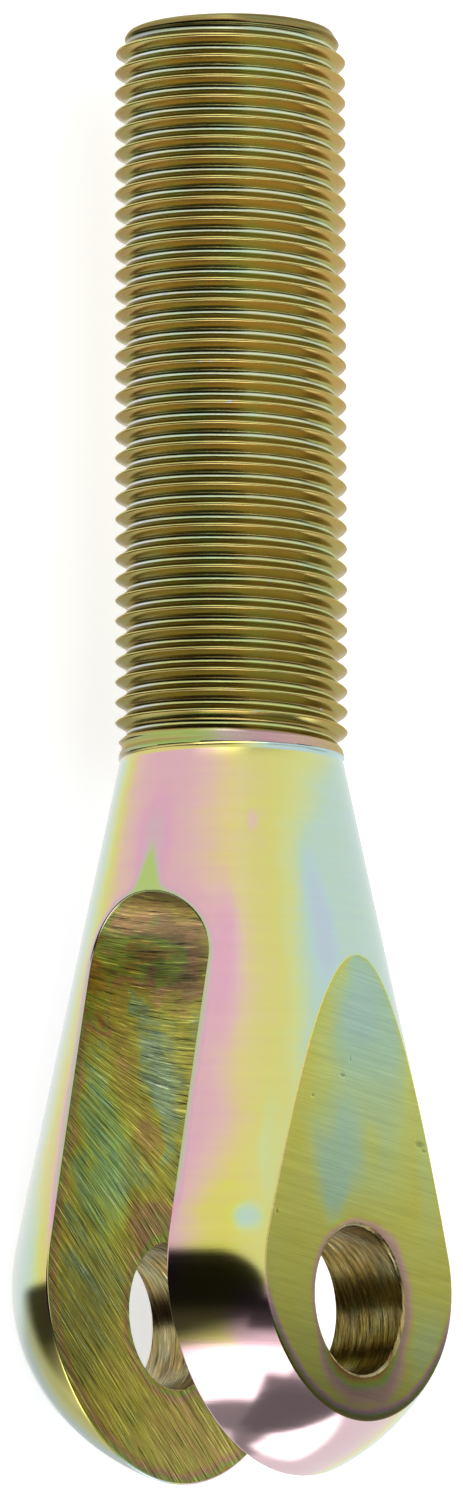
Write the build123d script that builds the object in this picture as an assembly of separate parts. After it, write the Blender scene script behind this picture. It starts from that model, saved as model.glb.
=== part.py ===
from build123d import *
import math
import os

# Clevis rod end, turned from one bar: a threaded shank, a conical fork body with
# a rounded nose, a round-ended slot, two flats and a cross bore for the pin.
#
# Frame: the origin is the centre of the pin bore, midway between the two cheeks.
# +X runs up the shank to its threaded end, +Z runs along the pin bore, and the
# slot is open along Y and towards -X. Lengths are in millimetres.

INCH = 25.4

# Driving dimensions: threaded shank, 5/8-18 UNF, left hand
major_radius = 7.92
thread_pitch = INCH / 18
thread_length = 50.8
lead_chamfer_angle = 30.0

# Driving dimensions: turned fork body
neck_to_pin = 37.34
neck_radius = 7.65
cone_half_angle = 12.0
cone_end_to_pin = 3.8
shoulder_radius = 11.43
nose_reach = 12.3

# Driving dimensions: fork
slot_width = 9.92
slot_reach = 27.5
cheek_thickness = 5.65
pin_bore_radius = 4.96
bore_edge_break = 0.25

# Named clearances: how far a cutter runs past what it cuts
cutter_overrun = 2.0

# Thread form sizes that set the blank's chamfer and run-out
thread_depth = 0.61343 * thread_pitch
runout_length = 2 * thread_pitch
lead_chamfer_length = thread_depth / math.tan(math.radians(lead_chamfer_angle))

# Stations along X
thread_end_x = neck_to_pin + thread_length
nose_tip_x = -nose_reach
slot_end_centre_x = slot_reach - slot_width / 2

across_flats = slot_width + 2 * cheek_thickness


def shank_points():
    """Outline of the shank blank from the threaded end's axis down to the neck."""
    return [
        (thread_end_x, 0),
        (thread_end_x, major_radius - thread_depth),
        (thread_end_x - lead_chamfer_length, major_radius),
        (neck_to_pin + runout_length, major_radius),
        (neck_to_pin, neck_radius),
    ]


def cone_end():
    """Point where the cone's straight side meets the shoulder arc."""
    run = neck_to_pin - cone_end_to_pin
    radius = neck_radius + run * math.tan(math.radians(cone_half_angle))
    return cone_end_to_pin, radius


def shoulder_centre():
    """Centre of the shoulder arc, square to the cone's side at its end."""
    x, radius = cone_end()
    angle = math.radians(cone_half_angle)
    return x - shoulder_radius * math.sin(angle), radius - shoulder_radius * math.cos(angle)


def nose_centre_x():
    """Centre of the nose sphere, which holds the tip and is tangent to the shoulder arc."""
    x, y = shoulder_centre()
    reach = nose_tip_x + shoulder_radius
    return (reach**2 - x**2 - y**2) / (2 * (reach - x))


def arc_through(centre, radius, start_angle, end_angle):
    """Arc about a centre, from one angle to another, in degrees from +X."""
    arc = CenterArc((0, 0), radius, start_angle, end_angle - start_angle)
    return Pos(*centre) * arc


def turned_blank():
    """Shank, cone, shoulder and nose as one solid of revolution about X."""
    shoulder_x, shoulder_y = shoulder_centre()
    nose_x = nose_centre_x()
    nose_radius = nose_x - nose_tip_x
    join_angle = math.degrees(math.atan2(shoulder_y, shoulder_x - nose_x))

    shank_and_cone = Polyline(*shank_points(), cone_end())
    shoulder = arc_through(
        (shoulder_x, shoulder_y), shoulder_radius, 90 - cone_half_angle, join_angle
    )
    nose = arc_through((nose_x, 0), nose_radius, join_angle, 180)
    axis_line = Line((nose_tip_x, 0), (thread_end_x, 0))
    profile = make_face([shank_and_cone, shoulder, nose, axis_line])
    return revolve(profile, Axis.X, 360)


def flat_cheeks(body):
    """Keep what lies between the two parallel flats that the pin bore crosses."""
    length = 2 * (thread_end_x + nose_reach)
    width = 4 * (shoulder_radius + major_radius)
    return body & Box(length, width, across_flats)


def slot_cutter():
    """Slot with a full-round end, cut straight through along Y."""
    mouth_x = nose_tip_x - cutter_overrun
    straight = Pos((mouth_x + slot_end_centre_x) / 2, 0) * Rectangle(
        slot_end_centre_x - mouth_x, slot_width
    )
    round_end = Pos(slot_end_centre_x, 0) * Circle(slot_width / 2)
    half_depth = cone_end()[1] + shoulder_radius
    return extrude(Plane.XZ * (straight + round_end), half_depth, both=True)


def pin_bore_cutter():
    """Cross bore through both cheeks."""
    return Cylinder(pin_bore_radius, across_flats + 2 * cutter_overrun)


def bore_rim_cutter(side):
    """Cone that breaks the bore's outer rim on one cheek; side is +1 or -1."""
    cone = Cone(
        pin_bore_radius,
        pin_bore_radius + bore_edge_break,
        bore_edge_break,
        align=(Align.CENTER, Align.CENTER, Align.MAX),
    )
    turn = Rot(0, 0 if side > 0 else 180, 0)
    return Pos(0, 0, side * across_flats / 2) * turn * cone


def clevis_rod_end():
    body = flat_cheeks(turned_blank())
    body = body - slot_cutter() - pin_bore_cutter()
    for side in (1, -1):
        body = body - bore_rim_cutter(side)
    return body


os.makedirs("parts", exist_ok=True)
export_step(clevis_rod_end(), "parts/clevis_rod_end.step")
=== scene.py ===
"""Clevis rod end: a left-hand threaded shank on a turned, slotted and drilled fork.

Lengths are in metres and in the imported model's own frame: the origin is the centre
of the pin bore, +X runs up the shank and +Z runs along the pin bore.
"""

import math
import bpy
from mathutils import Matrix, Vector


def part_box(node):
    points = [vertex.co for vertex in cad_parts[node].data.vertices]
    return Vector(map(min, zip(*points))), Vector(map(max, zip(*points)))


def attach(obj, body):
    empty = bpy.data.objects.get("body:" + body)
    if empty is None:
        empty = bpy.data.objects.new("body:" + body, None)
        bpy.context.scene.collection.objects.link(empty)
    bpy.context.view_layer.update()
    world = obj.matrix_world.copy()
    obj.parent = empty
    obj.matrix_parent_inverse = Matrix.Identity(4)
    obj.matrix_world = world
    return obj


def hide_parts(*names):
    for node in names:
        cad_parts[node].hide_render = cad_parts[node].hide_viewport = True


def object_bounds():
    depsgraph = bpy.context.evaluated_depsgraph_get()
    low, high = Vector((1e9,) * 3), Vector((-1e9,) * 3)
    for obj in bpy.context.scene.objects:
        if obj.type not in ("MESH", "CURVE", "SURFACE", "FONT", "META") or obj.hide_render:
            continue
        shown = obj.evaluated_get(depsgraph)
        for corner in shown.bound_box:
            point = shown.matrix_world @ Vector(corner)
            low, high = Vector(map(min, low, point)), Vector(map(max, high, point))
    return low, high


bl_info = {
    "name": "Clevis Rod End",
    "version": (1, 0, 0),
    "blender": (4, 5, 0),
    "location": "3D View > Sidebar > Rod End",
    "description": "Builds a threaded clevis rod end with a yellow chromate finish, and its studio",
    "category": "Object",
}

import bmesh
import bpy
import numpy as np
from mathutils import Matrix, Vector, geometry, kdtree

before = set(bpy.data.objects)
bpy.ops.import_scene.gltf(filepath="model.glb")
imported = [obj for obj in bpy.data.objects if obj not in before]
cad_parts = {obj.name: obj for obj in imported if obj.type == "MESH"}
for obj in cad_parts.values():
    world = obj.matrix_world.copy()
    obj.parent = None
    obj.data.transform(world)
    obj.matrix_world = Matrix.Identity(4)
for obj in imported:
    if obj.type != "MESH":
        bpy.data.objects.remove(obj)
CAD_BOX = [list(corner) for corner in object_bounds()]

NODE = "clevis_rod_end"
MM = 0.001
LOW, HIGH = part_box(NODE)
DEGREES = 180.0 / math.pi
# how near two points or faces count as the same, for welding along the seams
WELD = 2e-6
# the distance to an edge that is stored where no edge is near
NO_EDGE = 0.01


# ---------------------------------------------------------------- sizes and colours


def metres(name, description, default, **more):
    """A property that holds a length in metres."""
    return bpy.props.FloatProperty(
        name=name, description=description, default=default, min=0.0,
        subtype="DISTANCE", unit="LENGTH", precision=5, **more)


def radians(name, description, default):
    """A property that holds an angle in radians."""
    return bpy.props.FloatProperty(
        name=name, description=description, default=default, subtype="ANGLE", unit="ROTATION")


def tint(name, description, default):
    """A property that holds a colour."""
    return bpy.props.FloatVectorProperty(
        name=name, description=description, default=default, min=0.0, max=1.0,
        size=3, subtype="COLOR")


class ThreadSizes(bpy.types.PropertyGroup):
    """Sizes of the threaded shank."""

    major_radius: metres("Major radius", "Radius over the thread crests", 7.92 * MM)
    pitch: metres("Pitch", "Distance from one crest to the next", 25.4 / 18 * MM)
    crest_width: metres("Crest width", "Width of the flat on each crest", 0.10 * MM)
    crest_edge: metres("Crest edge", "Width of the rounding beside each crest", 0.10 * MM)
    root_radius: metres("Root radius", "Radius in the bottom of the groove", 0.36 * MM)
    flank_angle: radians("Flank angle", "Lean of each side of the groove", math.radians(30.0))
    end: metres("End", "Where the shank ends, measured from the pin", HIGH.x)
    crest_at: metres("Crest at", "Where a crest crosses the +Y side", 86.60 * MM)
    lead_radius: metres("Lead radius", "Radius of the end face", 7.054 * MM)
    end_edge: metres("End edge", "Rounding round the end face", 0.15 * MM)
    lead_angle: radians(
        "Lead angle", "Slope of the chamfer that starts the thread", math.radians(30.0))
    neck_step: metres("Neck step", "Plain width between the thread and the cone", 0.44 * MM)
    neck_rise: metres("Neck rise", "Height of the last, unfinished crest over the neck", 0.05 * MM)
    neck_land: metres("Neck land", "Width of the last, unfinished crest", 0.95 * MM)
    run_out: metres("Run-out", "Length over which the groove dies away at the neck", 0.95 * MM)
    left_hand: bpy.props.BoolProperty(
        name="Left hand", description="Cut a left-hand thread", default=True)


class ForkSizes(bpy.types.PropertyGroup):
    """Sizes of the turned, slotted and drilled fork."""

    neck_to_pin: metres("Neck to pin", "Distance from the pin to the neck", 37.34 * MM)
    neck_radius: metres("Neck radius", "Radius where the cone starts", 7.65 * MM)
    cone_angle: radians("Cone angle", "Half angle of the cone", math.radians(12.0))
    cone_end: metres("Cone end", "Where the cone ends, measured from the pin", 3.8 * MM)
    shoulder: metres("Shoulder", "Radius that joins the cone to the nose", 11.43 * MM)
    nose_reach: metres("Nose reach", "Distance from the pin to the tip of the nose", 12.3 * MM)
    slot_width: metres("Slot width", "Gap between the two cheeks", 9.92 * MM)
    slot_reach: metres("Slot reach", "Distance from the pin to the end of the slot", 27.5 * MM)
    across_flats: metres("Across flats", "Distance between the outer flats", HIGH.z - LOW.z)
    bore_radius: metres("Bore radius", "Radius of the pin bore", 4.96 * MM)
    rim: metres("Rim", "Rounding of the bore's outer rims", 0.25 * MM)
    flat_edge: metres("Flat edge", "Rounding round the outer flats", 0.22 * MM)
    slot_edge: metres("Slot edge", "Rounding along the slot", 0.12 * MM)
    columns: bpy.props.IntProperty(
        name="Columns", description="Mesh columns in a quarter turn", default=36, min=12, max=48)


class FinishColours(bpy.types.PropertyGroup):
    """Colours of the chromate film, in the order in which a thickening film shows them."""

    lavender: tint("Lavender", "Film colour 1, thinnest", (0.46, 0.53, 0.67))
    cyan: tint("Cyan", "Film colour 2", (0.43, 0.62, 0.61))
    green: tint("Green", "Film colour 3", (0.46, 0.65, 0.46))
    lime: tint("Lime", "Film colour 4", (0.60, 0.67, 0.22))
    yellow: tint("Yellow", "Film colour 5", (0.66, 0.63, 0.12))
    peach: tint("Peach", "Film colour 6", (0.70, 0.55, 0.28))
    rose: tint("Rose", "Film colour 7", (0.71, 0.47, 0.43))
    pink: tint("Pink", "Film colour 8", (0.70, 0.39, 0.49))
    mauve: tint("Mauve", "Film colour 9", (0.58, 0.46, 0.46))
    moss: tint("Moss", "Film colour 10", (0.42, 0.58, 0.15))
    amber: tint("Amber", "Film colour 11", (0.61, 0.43, 0.12))
    bronze: tint("Bronze", "Film colour 12, thickest", (0.50, 0.24, 0.13))
    flank: tint("Flank", "Colour of the thread's flanks", (0.565, 0.43, 0.150))
    root: tint("Root", "Colour of the bottom of the thread's groove", (0.64, 0.69, 0.48))
    crest: tint("Crest", "Colour of the thread's crests", (0.65, 0.60, 0.21))


class StudioSettings(bpy.types.PropertyGroup):
    """The floor, the light and the camera."""

    floor: tint("Floor", "Colour of the floor", (0.80, 0.80, 0.79))
    floor_width: metres("Floor width", "Length of each side of the floor", 5.0)
    floor_glow: bpy.props.FloatProperty(
        name="Floor glow", description="How brightly the floor shines by itself",
        default=0.66, min=0.0)
    walls: bpy.props.FloatProperty(
        name="Walls", description="Brightness of the white studio walls", default=1.0, min=0.0)
    distance: metres("Distance", "From the shank's axis to the camera", 833.8 * MM)
    station: bpy.props.FloatProperty(
        name="Station", description="Where the camera stands along the shank",
        default=-95.82 * MM, subtype="DISTANCE", unit="LENGTH")
    swing: radians("Swing", "Turn of the camera round the shank, up from the floor", 0.6360)
    tilt: radians("Tilt", "How far the camera looks up the shank", 0.1596)
    roll: radians("Roll", "Turn of the picture", 0.0022)
    lens: bpy.props.FloatProperty(
        name="Lens", description="Focal length", default=297.84, min=10.0,
        subtype="DISTANCE_CAMERA", unit="CAMERA")


# ---------------------------------------------------------------- node trees


class Result:
    """What a node puts out, so that numbers can be added and multiplied as usual."""

    def __init__(self, wiring, socket):
        self.wiring = wiring
        self.socket = socket

    def __add__(self, other):
        return self.wiring.math("ADD", self, other)

    def __radd__(self, other):
        return self.wiring.math("ADD", other, self)

    def __sub__(self, other):
        return self.wiring.math("SUBTRACT", self, other)

    def __rsub__(self, other):
        return self.wiring.math("SUBTRACT", other, self)

    def __mul__(self, other):
        return self.wiring.math("MULTIPLY", self, other)

    def __rmul__(self, other):
        return self.wiring.math("MULTIPLY", other, self)

    def __truediv__(self, other):
        return self.wiring.math("DIVIDE", self, other)

    def __rtruediv__(self, other):
        return self.wiring.math("DIVIDE", other, self)

    def __abs__(self):
        return self.wiring.math("ABSOLUTE", self)


class Wiring:
    """Adds nodes to a tree and joins them, so that a tree reads like a sum."""

    def __init__(self, tree):
        self.tree = tree
        self.column = 0

    def add(self, kind, inputs=None, **settings):
        """Adds a node, sets its settings, and joins or sets its inputs."""
        node = self.tree.nodes.new(kind)
        self.column += 1
        node.location = (180 * (self.column % 24), -220 * (self.column // 24))
        for name, value in settings.items():
            setattr(node, name, value)
        for key, value in (inputs or {}).items():
            self.put(node.inputs[key], value)
        return node

    def made(self, kind, inputs=None, out=0, **settings):
        """Adds a node and returns one of the things that it puts out."""
        return Result(self, self.add(kind, inputs, **settings).outputs[out])

    def all_of(self, node):
        """Everything that a node puts out, by name."""
        return {socket.name: Result(self, socket) for socket in node.outputs}

    def put(self, socket, value):
        """Joins a socket to what a node puts out, or sets it to a plain value."""
        if isinstance(value, Result):
            self.tree.links.new(value.socket, socket)
        else:
            socket.default_value = value

    def math(self, operation, *values):
        """One sum on numbers."""
        return self.made("ShaderNodeMath", dict(enumerate(values)), operation=operation)

    def min(self, a, b):
        """The lesser of two numbers."""
        return self.math("MINIMUM", a, b)

    def max(self, a, b):
        """The greater of two numbers."""
        return self.math("MAXIMUM", a, b)

    def ramp(self, value, low, high, start=0.0, stop=1.0, smooth=True):
        """Maps low..high to start..stop, held at both ends."""
        return self.made(
            "ShaderNodeMapRange", {0: value, 1: low, 2: high, 3: start, 4: stop},
            interpolation_type="SMOOTHSTEP" if smooth else "LINEAR", clamp=True)

    def vector(self, x, y, z):
        """A vector made of three numbers."""
        return self.made("ShaderNodeCombineXYZ", {0: x, 1: y, 2: z})

    def split(self, vector):
        """The three numbers of a vector."""
        return tuple(self.all_of(self.add("ShaderNodeSeparateXYZ", {0: vector})).values())

    def noise(self, x, y, z, detail, rough):
        """Soft noise from 0 to 1, in blotches about one unit across."""
        return self.made(
            "ShaderNodeTexNoise",
            {"Vector": self.vector(x, y, z), "Scale": 1.0, "Detail": detail, "Roughness": rough})

    def track(self, value, points):
        """A number that runs smoothly through (value, result) points, held at both ends."""
        low, high = points[0][0], points[-1][0]
        least = min(result for _, result in points)
        most = max(result for _, result in points)
        share = self.ramp(value, low, high, smooth=False)
        node = self.add("ShaderNodeFloatCurve", {"Factor": 1.0, "Value": share})
        line = node.mapping.curves[0]
        for k, (at, result) in enumerate(points):
            corner = ((at - low) / (high - low), (result - least) / (most - least))
            if k < 2:
                line.points[k].location = corner
            else:
                line.points.new(*corner)
        node.mapping.update()
        curve = Result(self, node.outputs[0])
        return self.ramp(curve, 0.0, 1.0, least, most, smooth=False)

    def bands(self, value, stops):
        """A colour that runs straight through (value, colour) stops from 0 to 1."""
        node = self.add("ShaderNodeValToRGB", {0: value})
        elements = node.color_ramp.elements
        while len(elements) < len(stops):
            elements.new(1.0)
        for element, (at, colour) in zip(elements, stops):
            element.position = at
            element.color = (*colour, 1.0)
        return Result(self, node.outputs[0])

    def mix(self, factor, a, b):
        """Blends two numbers."""
        return self.made("ShaderNodeMix", {0: factor, 2: a, 3: b}, data_type="FLOAT")

    def blend(self, factor, a, b, how="MIX"):
        """Blends two colours, where a plain one may leave out its alpha."""
        a, b = ((*c, 1.0) if isinstance(c, tuple) else c for c in (a, b))
        return self.made(
            "ShaderNodeMix", {0: factor, 6: a, 7: b}, out=2, data_type="RGBA", blend_type=how)


def new_group(name, kind, inputs, outputs):
    """Makes a node group with named sockets and returns it with its wiring and ends."""
    tree = bpy.data.node_groups.new(name, kind)
    for label, socket_type, default in inputs:
        socket = tree.interface.new_socket(label, in_out="INPUT", socket_type=socket_type)
        if default is not None:
            socket.default_value = default
    for label, socket_type in outputs:
        tree.interface.new_socket(label, in_out="OUTPUT", socket_type=socket_type)
    wiring = Wiring(tree)
    start = tree.nodes.new("NodeGroupInput")
    finish = tree.nodes.new("NodeGroupOutput")
    return tree, wiring, wiring.all_of(start), finish.inputs


# ---------------------------------------------------------------- the thread


# six rows on each side of a crest, which the steps below spread over the groove
ROWS_PER_PITCH = 12


def thread_tree():
    """Geometry nodes that roll a thread: rows follow the helix, columns go round."""
    number = "NodeSocketFloat"
    inputs = [
        ("Major Radius", number, 7.92 * MM), ("Pitch", number, 1.4 * MM),
        ("Crest Width", number, 0.12 * MM), ("Crest Edge", number, 0.05 * MM),
        ("Root Radius", number, 0.3 * MM), ("Flank Angle", number, math.radians(30.0)),
        ("Start", number, 0.0), ("End", number, 0.05), ("Crest At", number, 0.05),
        ("Lead Radius", number, 7.0 * MM), ("Lead Slope", number, 0.577),
        ("Neck Radius", number, 7.6 * MM), ("Neck Land", number, 1.0 * MM),
        ("Neck Fall", number, 0.21), ("Neck Climb", number, 1.1),
        ("Run-out", number, 1.0 * MM), ("Hand", number, 1.0),
        ("Columns", "NodeSocketInt", 144), ("Material", "NodeSocketMaterial", None),
    ]
    tree, w, given, out = new_group(
        "rolled thread", "GeometryNodeTree", inputs, [("Geometry", "NodeSocketGeometry")])
    tree.is_modifier = True
    pitch, start, end = given["Pitch"], given["Start"], given["End"]
    crest_at, root_radius, columns = given["Crest At"], given["Root Radius"], given["Columns"]
    # a flat grid, with rows enough to pass both ends of the thread
    rows = (w.math("CEIL", (end - start) / pitch) + 5.0) * ROWS_PER_PITCH
    grid = w.made("GeometryNodeMeshGrid", {
        "Size X": rows, "Size Y": columns, "Vertices X": rows + 1.0, "Vertices Y": columns + 1.0})
    grid_x, grid_y, _ = w.split(w.made("GeometryNodeInputPosition"))
    row = grid_x + rows / 2.0
    turn = (grid_y + columns / 2.0) / columns
    # the groove's shape: a crest flat, a straight flank, and an arc in the root
    half_pitch = pitch * 0.5
    half_crest = given["Crest Width"] * 0.5
    lean = given["Flank Angle"]
    slope = 1.0 / w.math("TANGENT", lean)
    sharp_depth = (half_pitch - half_crest) * slope
    centre = sharp_depth - root_radius / w.math("SINE", lean)
    arc_half = root_radius * w.math("COSINE", lean)
    # rows crowd at the crest's edges and in the root, half of them on each side of a crest
    count = (row + 0.5) / ROWS_PER_PITCH
    nearest = w.math("ROUND", count)
    off_crest = count - nearest
    spread = abs(off_crest)
    half_edge = given["Crest Edge"] * 0.5
    steps = [half_crest - half_edge, half_crest + half_edge, half_pitch - arc_half]
    # the last three lie in the root's arc
    steps += [half_pitch - arc_half * share for share in (0.76, 0.47, 0.16)]
    reach = w.ramp(spread, 0.0, 0.5 / ROWS_PER_PITCH, 0.0, steps[0], smooth=False)
    for k, (nearer, farther) in enumerate(zip(steps, steps[1:])):
        part = w.ramp(spread, (k + 0.5) / ROWS_PER_PITCH, (k + 1.5) / ROWS_PER_PITCH, smooth=False)
        reach = reach + part * (farther - nearer)
    shift = reach * w.math("SIGN", off_crest)
    # the first row lies on the helix of a crest, at least a pitch above the end
    above = w.math("CEIL", (end - crest_at) / pitch)
    top = crest_at + (above + 2.0) * pitch
    lead = turn * pitch * given["Hand"]
    x = w.min(w.max(top - (nearest * pitch + shift) - lead, start), end)
    # depth of the groove, from the distance to the nearest crest along the shank
    phase = (crest_at - x - lead) / pitch
    away = abs(w.math("FRACT", phase + 0.5) - 0.5) * pitch
    flank = w.max(away - half_crest, 0.0) * slope
    from_root = half_pitch - away
    chord = w.max(root_radius * root_radius - from_root * from_root, 0.0)
    arc_depth = centre + w.math("SQRT", chord)
    depth = w.mix(w.math("LESS_THAN", from_root, arc_half), flank, arc_depth)
    groove = depth / (centre + root_radius)
    from_start = x - start
    fade = w.ramp(from_start, 0.0, given["Run-out"])
    cut = given["Major Radius"] - depth * fade
    # the blank falls a little over the last, unfinished crest, then rises to full size
    fall = given["Neck Radius"] - from_start * given["Neck Fall"]
    blank = fall + w.max(from_start - given["Neck Land"], 0.0) * given["Neck Climb"]
    chamfer = given["Lead Radius"] + (end - x) * given["Lead Slope"]
    radius = w.min(w.min(blank, chamfer), cut)
    round_shank = turn * (2.0 * math.pi)
    place = w.vector(
        x, radius * w.math("COSINE", round_shank), radius * w.math("SINE", round_shank))
    marked = w.made(
        "GeometryNodeStoreNamedAttribute",
        {"Geometry": grid, "Name": "groove", "Value": groove * fade},
        data_type="FLOAT", domain="POINT")
    moved = w.made("GeometryNodeSetPosition", {"Geometry": marked, "Position": place})
    merged = w.made("GeometryNodeMergeByDistance", {"Geometry": moved, "Distance": 1e-7})
    smooth = w.made("GeometryNodeSetShadeSmooth", {"Geometry": merged})
    real = w.made("GeometryNodeRealizeInstances", {"Geometry": smooth})
    w.put(out["Geometry"], w.made(
        "GeometryNodeSetMaterial", {"Geometry": real, "Material": given["Material"]}))
    return tree


def grow(name, tree, values):
    """Runs a geometry-nodes tree once and returns the plain mesh that it makes."""
    source = bpy.data.objects.new(name, bpy.data.meshes.new(name))
    bpy.context.scene.collection.objects.link(source)
    modifier = source.modifiers.new(name, "NODES")
    modifier.node_group = tree
    for item in tree.interface.items_tree:
        if item.item_type == "SOCKET" and item.in_out == "INPUT" and item.name in values:
            modifier[item.identifier] = values[item.name]
    bpy.context.view_layer.update()
    shape = source.evaluated_get(bpy.context.evaluated_depsgraph_get())
    mesh = bpy.data.meshes.new_from_object(shape)
    source.modifiers.remove(modifier)
    bpy.data.objects.remove(source)
    if not len(mesh.polygons):
        raise RuntimeError(f"{name} came out empty")
    return mesh


# ---------------------------------------------------------------- the fork


# columns across the slot's end, and steps in each rounded edge
SLOT_COLUMNS = 12
EDGE_STEPS = 4


class Station:
    """One point of the turned outline, with the centres of the edge roundings there."""

    def __init__(self, x, radius, slant, fork):
        self.x = x
        self.radius = radius
        self.along = math.sin(slant)
        self.out = math.cos(slant)
        slot, flat = fork.slot_edge, fork.flat_edge
        half_slot = fork.slot_width / 2 + slot
        middle = fork.slot_reach - fork.slot_width / 2
        self.slot_x = x - slot * self.along
        slot_radius = radius - slot * self.out
        past = self.slot_x - middle
        if past <= 0.0:
            self.slot_z = half_slot
        else:
            self.slot_z = math.sqrt(max(half_slot**2 - past**2, 0.0))
        self.has_slot = past <= half_slot + 1e-9
        self.slot_angle = math.asin(min(self.slot_z / slot_radius, 1.0)) if self.has_slot else 0.0
        self.slot_radius = slot_radius
        self.slot_turn = math.atan2(max(past, 0.0), self.slot_z)
        self.flat_x = x - flat * self.along
        self.flat_radius = radius - flat * self.out
        self.flat_z = fork.across_flats / 2 - flat
        self.has_flat = self.flat_radius >= self.flat_z - 1e-9
        ratio = self.flat_z / self.flat_radius
        self.flat_angle = math.asin(min(ratio, 1.0)) if self.has_flat else math.pi / 2


def turned_outline(fork):
    """Stations from the neck, down the cone, round the shoulder and over the nose."""
    cone_steps, mouth_steps, tip_steps, nose_steps = 40, 18, 12, 14
    fine_below_tip, least_step = 7.0 * MM, 0.07 * MM
    slant = fork.cone_angle
    tangent = math.tan(slant)

    def cone_radius(x):
        return fork.neck_radius + tangent * (fork.neck_to_pin - x)

    shoulder_x = fork.cone_end - fork.shoulder * math.sin(slant)
    shoulder_r = cone_radius(fork.cone_end) - fork.shoulder * math.cos(slant)
    spare = fork.nose_reach - fork.shoulder
    nose_x = (shoulder_x**2 + shoulder_r**2 - spare**2) / (2 * (shoulder_x + spare))
    nose = nose_x + fork.nose_reach
    meet = math.atan2(shoulder_x - nose_x, shoulder_r)
    # the cone: even steps, finer where the slot's round end and the flat's tip lie
    half_slot = fork.slot_width / 2 + fork.slot_edge
    middle = fork.slot_reach - fork.slot_width / 2
    lift = fork.slot_edge * math.sin(slant)
    reach = fork.across_flats / 2 - fork.flat_edge + fork.flat_edge * math.cos(slant)
    tip = fork.neck_to_pin - (reach - fork.neck_radius) / tangent
    fixed = [fork.neck_to_pin, fork.cone_end, middle + half_slot + lift, middle + lift, tip]
    loose = list(np.linspace(fork.neck_to_pin, fork.cone_end, cone_steps)[1:-1])
    for k in range(1, mouth_steps):
        loose.append(middle + half_slot * math.sin(math.pi / 2 * k / mouth_steps) + lift)
    for k in range(1, tip_steps):
        loose.append(tip - (k / tip_steps) ** 2 * fine_below_tip)
    xs = sorted(fixed, reverse=True)
    for x in sorted(loose):
        if min(abs(x - taken) for taken in xs) > least_step:
            xs.append(x)
    stations = [Station(x, cone_radius(x), slant, fork) for x in sorted(xs, reverse=True)]
    for turn in np.linspace(slant, meet, nose_steps)[1:]:
        x = shoulder_x + fork.shoulder * math.sin(turn)
        radius = shoulder_r + fork.shoulder * math.cos(turn)
        stations.append(Station(x, radius, turn, fork))
    # the nose: finer where the flat ends and where the slot does
    last_flat = -math.acos((fork.across_flats / 2 - fork.flat_edge) / (nose - fork.flat_edge))
    last = -math.acos((fork.slot_width / 2 + fork.slot_edge) / (nose - fork.slot_edge))
    shares = [k / nose_steps for k in range(1, nose_steps + 1)]
    turns = [meet + (last_flat - meet) * (1.0 - (1.0 - e) ** 2) for e in shares]
    turns += [last_flat + (last - last_flat) * (0.5 - 0.5 * math.cos(math.pi * e)) for e in shares]
    for turn in turns:
        x, radius = nose_x + nose * math.sin(turn), nose * math.cos(turn)
        stations.append(Station(x, radius, turn, fork))
    return stations


class Skin:
    """Collects faces whose corners know their own normals."""

    def __init__(self):
        self.index = {}
        self.points = []
        self.normals = []
        self.faces = []
        self.finish = []

    def point(self, place, normal):
        """The number of a point, made new unless one is already there."""
        key = tuple(round(c * 1e8) for c in place)
        if key not in self.index:
            self.index[key] = len(self.points)
            self.points.append(tuple(place))
            self.normals.append(tuple(normal))
        return self.index[key]

    def face(self, corners, finish):
        """A face from point numbers, turned to face outwards, dropped if it has no area."""
        ring = [c for k, c in enumerate(corners) if c != corners[k - 1]]
        if len(set(ring)) < 3:
            return
        p = [self.points[c] for c in ring]
        facing = geometry.normal([Vector(q) for q in p])
        outward = Vector((0.0, 0.0, 0.0))
        for c in ring:
            outward += Vector(self.normals[c])
        self.faces.append(ring if facing.dot(outward) >= 0.0 else ring[::-1])
        self.finish.append(finish)

    def strip(self, rows, finish):
        """Quads between rows of (place, normal) pairs."""
        numbers = [[self.point(p, n) for p, n in row] for row in rows]
        for upper, lower in zip(numbers, numbers[1:]):
            for k in range(len(upper) - 1):
                self.face([upper[k], upper[k + 1], lower[k + 1], lower[k]], finish)

    def mesh(self, name, edges=()):
        """A plain mesh that carries the normals, and each point's distance to an edge."""
        made = bpy.data.meshes.new(name)
        made.from_pydata(self.points, [], self.faces)
        made.polygons.foreach_set("material_index", self.finish)
        own = made.attributes.new("own_normal", "FLOAT_VECTOR", "POINT")
        own.data.foreach_set("vector", np.array(self.normals, dtype=np.float32).ravel())
        far = made.attributes.new("edge_distance", "FLOAT", "POINT")
        gaps = np.full(len(self.points), NO_EDGE, dtype=np.float32)
        if len(edges):
            tree = kdtree.KDTree(len(edges))
            for k, p in enumerate(edges):
                tree.insert(p, k)
            tree.balance()
            gaps = np.array([tree.find(p)[2] for p in self.points], dtype=np.float32)
        far.data.foreach_set("value", gaps)
        return made


def arc(centre, radius, first, last):
    """(place, normal) pairs on a rounding that turns from one normal to another."""
    first, last = Vector(first).normalized(), Vector(last).normalized()
    pairs = []
    for k in range(EDGE_STEPS + 1):
        normal = first.slerp(last, k / EDGE_STEPS)
        pairs.append((Vector(centre) + normal * radius, normal))
    return pairs


def once_round(columns):
    """The cosine and sine of each column once round, and of the first one again."""
    turns = [2 * math.pi * (k % columns) / columns for k in range(columns + 1)]
    return [(math.cos(turn), math.sin(turn)) for turn in turns]


def turned_rows(profile, columns):
    """Rows round the shank, from (x, radius, normal's x, normal's radius) points."""
    return [[(Vector((x, r * c, r * s)), Vector((nx, nr * c, nr * s))) for c, s in once_round(columns)]
            for x, r, nx, nr in profile]


def mirrored(pairs, side_y, side_z):
    """The same pairs on another quarter of the fork."""
    flip = Vector((1.0, side_y, side_z))
    return [(Vector(p) * flip, Vector(n) * flip) for p, n in pairs]


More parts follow.
